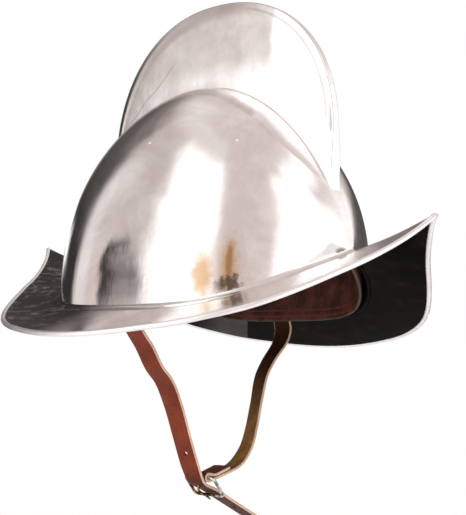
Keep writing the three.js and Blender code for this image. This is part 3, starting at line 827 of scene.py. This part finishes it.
def brim_finish():
    """The plate's top: bright beside the wearer's right ear and forward, painted near-black behind as a
    painted reflection of the dark surroundings.
    """
    material = steel_finish("brim_steel", (0.93, 0.90, 0.89), (0.82, 0.78, 0.77), 0.14, 0.24, 0.0003)
    tree = material.node_tree
    place = place_in(tree)
    back = axis_of(tree, place, "Y")
    streaks = ramp(tree, noise(tree, place, 150, 6, 0.66, (1, 0.3, 1), 1.2), 0.48, 0.74, 1.0, 0.62)
    # Painted reflection: the rear of the top is painted near-black in streaks, standing for the dark
    # surroundings it would reflect
    dull = product(tree, ramp(tree, back, -0.018, 0.040), streaks, 0.97)
    stain(material, dull, (0.022, 0.02, 0.019), 0.5)
    tip = product(tree, ramp(tree, back, -0.118, -0.14), streaks, 0.6)
    stain(material, tip, (0.20, 0.185, 0.18), 0.3)
    return material


brim_steel = brim_finish()
sections = [brim_section(station, hand) for station, hand in half_round(BRIM_STATIONS)]
count = len(sections[0])
top_faces = len(BRIM_ROOT) + BRIM_STEPS
faces, marks = ring_faces(len(sections), count, mark=lambda i: 0 if i < top_faces else 1)
make_piece(
    "brim_plate",
    np.concatenate(sections),
    faces,
    [brim_steel, blackened_steel],
    marks,
    stands_for=("brim",),
)


# Rolled edge: the plate's rim turned over a wire, all the way round, brighter than the rest
# because hands and cloth rub it.
def wire_points(path, radius, sides, endless, across):
    """Round sections along a path, mitred where it turns."""
    path = [np.asarray(point, float) for point in path]
    radii = radius if hasattr(radius, "__len__") else [radius] * len(path)
    sections = []
    for i, point in enumerate(path):
        before = path[i - 1] if endless or i else point
        after = path[(i + 1) % len(path)] if endless or i + 1 < len(path) else point
        arriving = point - before
        leaving = after - point
        arriving = arriving / max(np.linalg.norm(arriving), 1e-9)
        leaving = leaving / max(np.linalg.norm(leaving), 1e-9)
        along = arriving + leaving
        along = along / np.linalg.norm(along)
        turn = max(along @ (leaving if np.linalg.norm(leaving) > 0.5 else arriving), 0.45)
        side = np.cross(along, across)
        side = side / np.linalg.norm(side)
        up = np.cross(side, along)
        for k in range(sides):
            angle = (k + 0.5) * 2 * math.pi / sides
            sideways = side * (radii[i] * math.cos(angle) / turn)
            sections.append(point + sideways + up * radii[i] * math.sin(angle))
    return sections


def edge_point(station, hand):
    forward, side, up = brim_inset(station, EDGE_RADIUS)
    return at(forward, side * hand, up - STEEL / 2)


rolled_steel = steel_finish("rolled_steel", (0.97, 0.96, 0.95), (0.88, 0.86, 0.85), 0.36, 0.46, 0.0002)
edge_path = [edge_point(station, hand) for station, hand in half_round(BRIM_STATIONS)]
faces, marks = ring_faces(len(edge_path), 16)
make_piece(
    "brim_roll",
    wire_points(edge_path, EDGE_RADIUS, 16, True, (0, 0, 1)),
    faces,
    [rolled_steel],
    stands_for=("brim_edge",),
)

# Lining: a dark leather band that stands off the steel by the straps' room, with two rows of
# stitches near its lower edge.
LINING_ROOM = 2.8
LINING_THICKNESS = 1.6
LINING_HEIGHT = 45
LINING_DROP = 2
LINING_END_ROUND = 3
LINING_NOSE = 10
LINING_STATIONS = 72
LINING_ROWS = 14
OUTER_FACE = STEEL + LINING_ROOM
INNER_FACE = OUTER_FACE + LINING_THICKNESS
STITCH_ROWS = (1.6, 5.4)
STITCH_HALF = 0.35
LEATHER_DARK = (0.03, 0.006, 0.003)


def lining_point(form, station, height):
    reach = bisect(0, form.half_length, lambda trial: form.ridge(trial) - form.seam(trial) > height, 30)
    forward = (reach - LINING_END_ROUND) * forward_share(station)
    nose = math.sqrt(1 - abs(station) ** LINING_NOSE)
    return forward, form.width_at(forward, height) * nose, form.seam(forward) + height


def lining_face(inset, station, hand, height):
    forward, side, up = lining_point(bowl_forms[inset], station, max(height, 0))
    return at(forward, side * hand, up + min(height, 0))


def lining_section(station, hand):
    """Up the outer face and down the inner one, with the two edges rounded."""
    half = LINING_THICKNESS / 2
    middle_inset = OUTER_FACE + half
    low, high = -LINING_DROP, LINING_HEIGHT
    heights = [low + half + (high - low - 2 * half) * row / LINING_ROWS for row in range(LINING_ROWS + 1)]
    section = [lining_face(OUTER_FACE, station, hand, height) for height in heights]
    for angle in (45, 90, 135):
        turn = math.radians(angle)
        inset = middle_inset - half * math.cos(turn)
        section.append(lining_face(round(inset, 4), station, hand, high - half + half * math.sin(turn)))
    section += [lining_face(INNER_FACE, station, hand, height) for height in reversed(heights)]
    for angle in (45, 90, 135):
        turn = math.radians(angle)
        inset = middle_inset + half * math.cos(turn)
        section.append(lining_face(round(inset, 4), station, hand, low + half - half * math.sin(turn)))
    return section


def leather_finish(name, grain, deep, worn, roughness, grain_scale=1400, depth=0.00012, darkenings=()):
    """Leather with clouds and specks; each darkening is a height in millimetres where a darker part
    starts, the height where it is full, and its strength."""
    material, tree, shader, place = new_material(name)
    up = axis_of(tree, place, "Z")
    cloud = noise(tree, place, 55, 6, 0.6)
    speck = noise(tree, place, 700, 3, 0.6)
    colour = mixed(tree, ramp(tree, cloud, 0.3, 0.7), deep, grain)
    colour = mixed(tree, ramp(tree, speck, 0.5, 0.8, 0, 0.6), colour, worn)
    for start, full, strength in darkenings:
        share = ramp(tree, up, start / 1000, full / 1000, 0, strength)
        colour = mixed(tree, share, colour, LEATHER_DARK)
    shader.inputs["Specular IOR Level"].default_value = 0.12
    paint(tree, shader, colour, ramp(tree, speck, 0.2, 0.8, roughness - 0.08, roughness + 0.12))
    cells = add_node(tree, "ShaderNodeTexVoronoi", Vector=place, Scale=grain_scale, Randomness=1.0)
    pores = noise(tree, place, grain_scale * 0.6, 5, 0.65)
    height = math_of(tree, "ADD", cells.outputs["Distance"], pores)
    roughen(tree, shader, (height, 0.6, depth))
    return material


def lining_finish():
    """Oxblood leather with rows of stitches that follow the seam."""
    material = leather_finish(
        "lining_leather", (0.13, 0.038, 0.028), (0.028, 0.008, 0.006), (0.19, 0.07, 0.055), 0.5
    )
    tree = material.node_tree
    place = place_in(tree)
    back = math_of(tree, "ABSOLUTE", axis_of(tree, place, "Y"))
    share = math_of(tree, "DIVIDE", back, BOWL_LENGTH / 2000)
    seam_up = product(tree, math_of(tree, "POWER", share, SEAM_CURVE), SEAM_RISE / 1000)
    seam_up = math_of(tree, "ADD", seam_up, SEAM_UP / 1000)
    above = math_of(tree, "SUBTRACT", axis_of(tree, place, "Z"), seam_up)
    for row_up in STITCH_ROWS:
        stitch = band(tree, above, row_up - STITCH_HALF, row_up + STITCH_HALF, 0.25)
        stain(material, product(tree, stitch, 0.8), (0.20, 0.035, 0.022))
    return material


half_lining = LINING_THICKNESS / 2
edge_insets = {
    round(OUTER_FACE + half_lining + sign * half_lining * math.cos(math.radians(angle)), 4)
    for angle in (45, 90, 135)
    for sign in (1, -1)
}
bowl_forms = {inset: bowl(inset) for inset in edge_insets | {OUTER_FACE, INNER_FACE}}
sections = [
    lining_section(hand * (-1 + 2 * i / LINING_STATIONS), hand)
    for hand in (1, -1)
    for i in range(LINING_STATIONS + 1)
]
lining_leather = lining_finish()
lining_edge = leather_finish("lining_edge", (0.09, 0.085, 0.06), (0.05, 0.045, 0.03), (0.12, 0.11, 0.08), 0.7)
count = len(sections[0])
faces, marks = ring_faces(len(sections), count, mark=lambda i: 1 if i >= count - 4 else 0)
make_piece(
    "lining_band",
    np.concatenate(sections),
    faces,
    [lining_leather, lining_edge],
    marks,
    stands_for=("lining",),
)

# Chin strap: brown grained leather, its cut edges paler. The right half is the billet that goes
# through the buckle, and the left half folds round the buckle's top bar.
STRAP_WIDTH = 14.5
STRAP_THICKNESS = 1.8
STRAP_TUCK = 34
RIVET_UP = 20
RIGHT_FORWARD = 5
LEFT_FORWARD = -6
FOLD_RETURN = 21
TAIL_LENGTH = 47
TAIL_TIP = 9
# How far the free end goes sideways and down, as shares of its length
TAIL_ACROSS = 0.9
TAIL_DOWN = 0.44
HOLE_DIAMETER = 3
WIRE_RADIUS = 1.0
BUCKLE_WIDTH = 24.8
BUCKLE_SLIDE = 1.4
BUCKLE_LENGTH = 16
BUCKLE_CORNER = 2.5
TONGUE_RADIUS = 0.8
BUCKLE_SIDE = -7.5
BUCKLE_UP = -103.1
BUCKLE_SLOPE = math.radians(49)
TONGUE_RISE = 6.6
# Side as a share of the way out to the anchor, up as a share of the drop, forward in strap
# widths, and twist in degrees
RIGHT_HANG = [
    (0.945, 0.91, 0.34, -2), (0.79, 0.79, 0.3, -5), (0.66, 0.67, 0.26, -7), (0.515, 0.585, 0.16, -8),
    (0.37, 0.43, 0.06, -7), (0.24, 0.235, 0.0, -5), (0.135, 0.07, 0.0, -6),
]
LEFT_HANG = [
    (0.995, 0.94, -0.33, 2), (0.94, 0.855, -0.24, 5), (0.795, 0.73, -0.2, 10), (0.71, 0.625, -0.2, 14),
    (0.655, 0.455, -0.2, 19), (0.595, 0.29, -0.16, 18), (0.53, 0.17, -0.12, 14), (0.395, 0.065, -0.06, 7),
    (0.2, 0.015, 0.0, 2),
]
HOLE_PLACES = [-25, 0, 38]
# Where the tongue crosses the billet, as shares of the buckle's length and the tongue's rise
TONGUE_CROSSING = (0.19, 0.66)
# The rivets' holes: their radius and their depth
RIVET_HOLE = (1.3, 12)

strap_room = bowl(STEEL + LINING_ROOM / 2)


def buckle_point(forward, along, out):
    """A point in the buckle's own plane: along from the top bar down, out away from the wearer."""
    side = BUCKLE_SIDE + along * math.cos(BUCKLE_SLOPE) - out * math.sin(BUCKLE_SLOPE)
    up = BUCKLE_UP - along * math.sin(BUCKLE_SLOPE) - out * math.cos(BUCKLE_SLOPE)
    return at(forward, side, up)


def tucked_point(forward, hand, up):
    side = strap_room.width_at(forward, max(up - strap_room.seam(forward), 0))
    return at(forward, side * hand, up)


def hang_points(hang, hand):
    reach = abs(tucked_point(0, hand, 0)[0] - BUCKLE_SIDE)
    return [
        (at(forward * STRAP_WIDTH, BUCKLE_SIDE + hand * side * reach, BUCKLE_UP * (1 - up)), twist)
        for side, up, forward, twist in hang
    ]


def tucked_points(forward, hand):
    return [(tucked_point(forward, hand, share * STRAP_TUCK), 0) for share in (1, 0.7, 0.4, 0.15, -0.02)]


def right_route():
    over_fold = WIRE_RADIUS + 2 * GAP + 1.5 * STRAP_THICKNESS
    behind_bar = WIRE_RADIUS + GAP + STRAP_THICKNESS / 2
    through = [
        (buckle_point(0, -0.1 * BUCKLE_LENGTH, over_fold + 0.3), 0),
        (buckle_point(0, 0.14 * BUCKLE_LENGTH, over_fold - 0.2), 0),
        (buckle_point(0, 0.6 * BUCKLE_LENGTH, 0.2), 0),
        (buckle_point(0, 0.95 * BUCKLE_LENGTH, -behind_bar - 0.15), 0),
    ]
    drop = buckle_point(0, 0.95 * BUCKLE_LENGTH, -behind_bar)
    to_tip = at(0, TAIL_ACROSS, -TAIL_DOWN) * TAIL_LENGTH
    tail = [(drop + to_tip * share, 0) for share in (0.25, 0.62, 1)]
    return tucked_points(RIGHT_FORWARD, -1) + hang_points(RIGHT_HANG, -1) + through + tail


def left_route():
    fold_radius = WIRE_RADIUS + GAP + STRAP_THICKNESS / 2
    fold = []
    for angle in (-75, -115, -155, -195, -235, -268):
        turn = math.radians(angle)
        side = BUCKLE_SIDE + fold_radius * math.cos(turn)
        fold.append((at(0, side, BUCKLE_UP + fold_radius * math.sin(turn)), 0))
    under = BUCKLE_UP - fold_radius + STRAP_THICKNESS + GAP + 0.35
    back = []
    for share in (0.3, 0.62, 1):
        rise = 0.16 * FOLD_RETURN * share + 0.09 * FOLD_RETURN * share**2
        back.append((at(0, BUCKLE_SIDE + FOLD_RETURN * share, under + rise), 0))
    return tucked_points(LEFT_FORWARD, 1) + hang_points(LEFT_HANG, 1) + fold + back


def spline(points, steps=24):
    """A smooth line through points, evenly fine between each pair, with its places among them."""
    points = [np.asarray(point, float) for point in points]
    ends = [2 * points[0] - points[1], *points, 2 * points[-1] - points[-2]]
    line, places = [], []
    for i in range(len(points) - 1):
        p0, p1, p2, p3 = ends[i : i + 4]
        d0, d1, d2 = (max(np.linalg.norm(b - a) ** 0.5, 1e-4) for a, b in ((p0, p1), (p1, p2), (p2, p3)))
        t1 = ((p1 - p0) / d0 - (p2 - p0) / (d0 + d1) + (p2 - p1) / d1) * d1
        t2 = ((p2 - p1) / d1 - (p3 - p1) / (d1 + d2) + (p3 - p2) / d2) * d1
        for k in range(steps + (i == len(points) - 2)):
            t = k / steps
            line.append(
                (2 * t**3 - 3 * t**2 + 1) * p1
                + (t**3 - 2 * t**2 + t) * t1
                + (3 * t**2 - 2 * t**3) * p2
                + (t**3 - t**2) * t2
            )
            places.append(i + t)
    return np.array(line), np.array(places)


def evenly(line, places, count):
    """The line at equal distances along it, with its tangents, places and whole length."""
    run = np.concatenate(([0], np.cumsum(np.linalg.norm(np.diff(line, axis=0), axis=1))))
    wanted = np.linspace(0, run[-1], count)
    even = np.stack([np.interp(wanted, run, line[:, k]) for k in range(3)], axis=1)
    tangents = np.gradient(even, axis=0)
    tangents /= np.linalg.norm(tangents, axis=1)[:, None]
    return even, tangents, np.interp(wanted, run, places), run[-1]


def strap_outline(half, corner=0.55):
    """A flat section with rounded corners: its points, and a mark for each face that follows."""
    thick = STRAP_THICKNESS / 2
    wide = half - corner
    points, marks = [], []
    for w, t, start in ((1, 1, 0), (-1, 1, 90), (-1, -1, 180), (1, -1, 270)):
        for step in range(4):
            angle = math.radians(start + 30 * step)
            across = w * wide + corner * math.cos(angle)
            points.append((across, t * (thick - corner) + corner * math.sin(angle)))
            marks.append(2)
        if start in (0, 180):
            marks[-1] = start // 180
            for share in (0.25, 0.5, 0.75):
                points.append((w * wide * (1 - 2 * share), t * thick))
                marks.append(start // 180)
    return points, marks


def strap_piece(route, count, tip):
    """A strap along a route of places and twists, its end rounded over the length of its tip."""
    line, places = spline([point for point, _ in route])
    even, tangents, places, length = evenly(line, places, count)
    twists = np.interp(places, range(len(route)), [twist for _, twist in route])
    points = []
    for i in range(count):
        along = tangents[i]
        width = at(1, 0, 0) - along * (at(1, 0, 0) @ along)
        width /= np.linalg.norm(width)
        thick = np.cross(along, width)
        turn = math.radians(twists[i])
        width, thick = (
            width * math.cos(turn) + thick * math.sin(turn),
            thick * math.cos(turn) - width * math.sin(turn),
        )
        to_end = length * (1 - i / (count - 1))
        narrow = math.sqrt(1 - (1 - to_end / tip) ** 2) if to_end < tip else 1
        outline, outline_marks = strap_outline(max(narrow, 0.3) * STRAP_WIDTH / 2)
        points += [even[i] + width * w + thick * t for w, t in outline]
    faces, marks = ring_faces(count, len(outline), False, lambda i: outline_marks[i])
    return points, faces, marks, (even, tangents, length)


# The grain side is darker towards the bottom, round the buckle and the free end
strap_grain = leather_finish(
    "strap_grain", (0.25, 0.048, 0.022), (0.16, 0.03, 0.015), (0.32, 0.08, 0.045), 0.5,
    darkenings=[(-96, -110, 0.7)],
)
# The flesh side is painted darker towards its top: painted shade under the brim
strap_flesh = leather_finish(
    "strap_flesh", (0.50, 0.27, 0.085), (0.27, 0.13, 0.035), (0.64, 0.40, 0.17), 0.8, 900, 0.0002,
    darkenings=[(-104, -26, 0.95)],
)
strap_edge = leather_finish("strap_edge", (0.80, 0.60, 0.45), (0.6, 0.42, 0.3), (0.88, 0.74, 0.6), 0.6)
strap_materials = [strap_grain, strap_flesh, strap_edge]


def punch(name, place, direction, radius, depth=8):
    bpy.ops.mesh.primitive_cylinder_add(vertices=24, radius=radius / 1000, depth=depth / 1000)
    cutter = bpy.context.object
    cutter.name = name
    facing = Vector(direction).to_track_quat("Z", "Y").to_matrix().to_4x4()
    cutter.matrix_world = Matrix.Translation(Vector(place) / 1000) @ facing
    return cutter


def cut_with(piece, cutters):
    for cutter in cutters:
        modifier = piece.modifiers.new("cut", "BOOLEAN")
        modifier.operation = "DIFFERENCE"
        modifier.object = cutter
    bpy.context.view_layer.update()
    made = bpy.data.meshes.new_from_object(piece.evaluated_get(bpy.context.evaluated_depsgraph_get()))
    piece.modifiers.clear()
    piece.data = made
    for cutter in cutters:
        bpy.data.objects.remove(cutter)


def place_nearest(line, target):
    even, _, length = line
    return length * np.argmin(np.linalg.norm(even - target, axis=1)) / (len(even) - 1)


def hole_cutter(name, line, distance, radius):
    even, tangents, length = line
    i = int(round(distance / length * (len(even) - 1)))
    return punch(name, even[i], np.cross(tangents[i], at(1, 0, 0)), radius)


points, faces, marks, right_line = strap_piece(right_route(), 240, TAIL_TIP)
billet = make_piece("billet", points, faces, strap_materials, marks, 30, ("strap_right",))
along, out = TONGUE_CROSSING
tongue_hole = place_nearest(right_line, buckle_point(0, along * BUCKLE_LENGTH, out * TONGUE_RISE))
right_rivet = tucked_point(RIGHT_FORWARD, -1, RIVET_UP)
left_rivet = tucked_point(LEFT_FORWARD, 1, RIVET_UP)
cutters = [
    hole_cutter(f"hole_{i}", right_line, tongue_hole + place, HOLE_DIAMETER / 2)
    for i, place in enumerate(HOLE_PLACES)
]
cutters.append(punch("rivet_hole_right", right_rivet, (1, 0, 0), *RIVET_HOLE))
cut_with(billet, cutters)

points, faces, marks, left_line = strap_piece(left_route(), 260, 0.001)
turned_materials = [strap_flesh, strap_grain, strap_edge]
buckle_strap = make_piece(
    "buckle_strap", points, faces, turned_materials, marks, 30, ("strap_left",)
)
slot_width = 2 * (TONGUE_RADIUS + GAP) + 1
slot_reach = 2 * (WIRE_RADIUS + TONGUE_RADIUS + STRAP_THICKNESS + 2 * GAP) + 1
bpy.ops.mesh.primitive_cube_add(size=1)
slot_cutter = bpy.context.object
slot_cutter.scale = Vector((slot_reach, slot_width, slot_reach)) / 1000
slot_cutter.location = at(0, BUCKLE_SIDE, BUCKLE_UP) / 1000
left_rivet_hole = punch("rivet_hole_left", left_rivet, (1, 0, 0), *RIVET_HOLE)
cut_with(buckle_strap, [slot_cutter, left_rivet_hole])


# Buckle: a rectangle of nickelled brass wire that hangs from its top bar, which the folded strap
# holds, with a bent wire tongue looped on the same bar.
def metal_finish():
    material, tree, shader, place = new_material("buckle_metal")
    shader.inputs["Metallic"].default_value = 1.0
    cloud = noise(tree, place, 220, 4, 0.6)
    nickel = mixed(tree, ramp(tree, cloud, 0.42, 0.66), (0.90, 0.88, 0.85), (0.22, 0.19, 0.17))
    paint(tree, shader, nickel, ramp(tree, cloud, 0.3, 0.7, 0.25, 0.45))
    # The nickel has gone from the rear end, down to dark brass
    worn = ramp(tree, axis_of(tree, place, "Y"), -0.008, -0.002)
    bright = ramp(tree, noise(tree, place, 340, 3, 0.6), 0.5, 0.62)
    brass = mixed(tree, bright, (0.055, 0.026, 0.013), (0.42, 0.27, 0.12))
    stain(material, worn, brass, 0.5)
    return material


def buckle_rectangle():
    path = []
    for f, a, start in ((1, 1, 0), (-1, 1, 90), (-1, -1, 180), (1, -1, 270)):
        for step in range(9):
            angle = math.radians(start + 90 * step / 8)
            forward = f * (BUCKLE_WIDTH / 2 - BUCKLE_CORNER) + BUCKLE_CORNER * math.cos(angle)
            along = a * (BUCKLE_LENGTH / 2 - BUCKLE_CORNER) + BUCKLE_CORNER * math.sin(angle)
            path.append(buckle_point(forward - BUCKLE_SLIDE, along + BUCKLE_LENGTH / 2, 0))
    return path


buckle_metal = metal_finish()
buckle_path = buckle_rectangle()
faces, marks = ring_faces(len(buckle_path), 16)
make_piece(
    "buckle_wire",
    wire_points(buckle_path, WIRE_RADIUS, 16, True, buckle_point(0, 0, 1) - buckle_point(0, 0, 0)),
    faces,
    [buckle_metal],
    stands_for=("buckle_frame",),
)

TONGUE_ARCH = [(0.15, 0.3), (0.2, 0.75), (0.34, 1.0), (0.56, 0.86), (0.82, 0.55), (1.1, 0.37)]
# The loop round the bar starts at this angle and goes on by equal steps, in degrees
LOOP_START = 105
LOOP_STEP = 25.5
LOOP_POINTS = 11
loop_radius = WIRE_RADIUS + GAP + TONGUE_RADIUS
tongue_path = []
for i in range(LOOP_POINTS):
    turn = math.radians(LOOP_START + LOOP_STEP * i)
    tongue_path.append(buckle_point(0, loop_radius * math.cos(turn), loop_radius * math.sin(turn)))
tongue_path += [buckle_point(0, along * BUCKLE_LENGTH, out * TONGUE_RISE) for along, out in TONGUE_ARCH]
tongue_line = evenly(*spline(tongue_path), 90)[0]
# The tongue thins over its last twelve points
last = len(tongue_line) - 1
taper = [TONGUE_RADIUS * min(1, 0.55 + 0.45 * (last - i) / 12) for i in range(last + 1)]
faces, marks = ring_faces(len(tongue_line), 12, False)
make_piece(
    "tongue_wire",
    wire_points(tongue_line, taper, 12, False, (0, -1, 0)),
    faces,
    [buckle_metal],
    stands_for=("buckle_tongue",),
)

# Rivets: plain ones of the buckle's metal, one through the lining and each strap's tucked end,
# with a domed head inside.
RIVET_RADIUS = 1.0
RIVET_HEAD = 3.2
RIVET_DOME = 1.2


def rivet_piece(name, place, hand, node):
    seat = -(LINING_ROOM / 2 + LINING_THICKNESS + GAP * 0.2)
    top = STRAP_THICKNESS / 2
    profile = [(0.001, top), (RIVET_RADIUS, top), (RIVET_RADIUS, seat), (RIVET_HEAD, seat)]
    for step in range(1, 8):
        angle = RIGHT_ANGLE * step / 7
        profile.append((max(RIVET_HEAD * math.cos(angle), 0.001), seat - RIVET_DOME * math.sin(angle)))
    sections = []
    for radius, depth in profile:
        for k in range(32):
            angle = 2 * math.pi * k / 32
            offset = (hand * depth, radius * math.cos(angle), radius * math.sin(angle))
            sections.append(place + np.array(offset))
    faces, _ = ring_faces(len(profile), 32, False)
    return make_piece(name, sections, faces, [buckle_metal], None, 35, (node,))


rivet_piece("rivet_right", right_rivet, -1, "strap_rivet_right")
rivet_piece("rivet_left", left_rivet, 1, "strap_rivet_left")
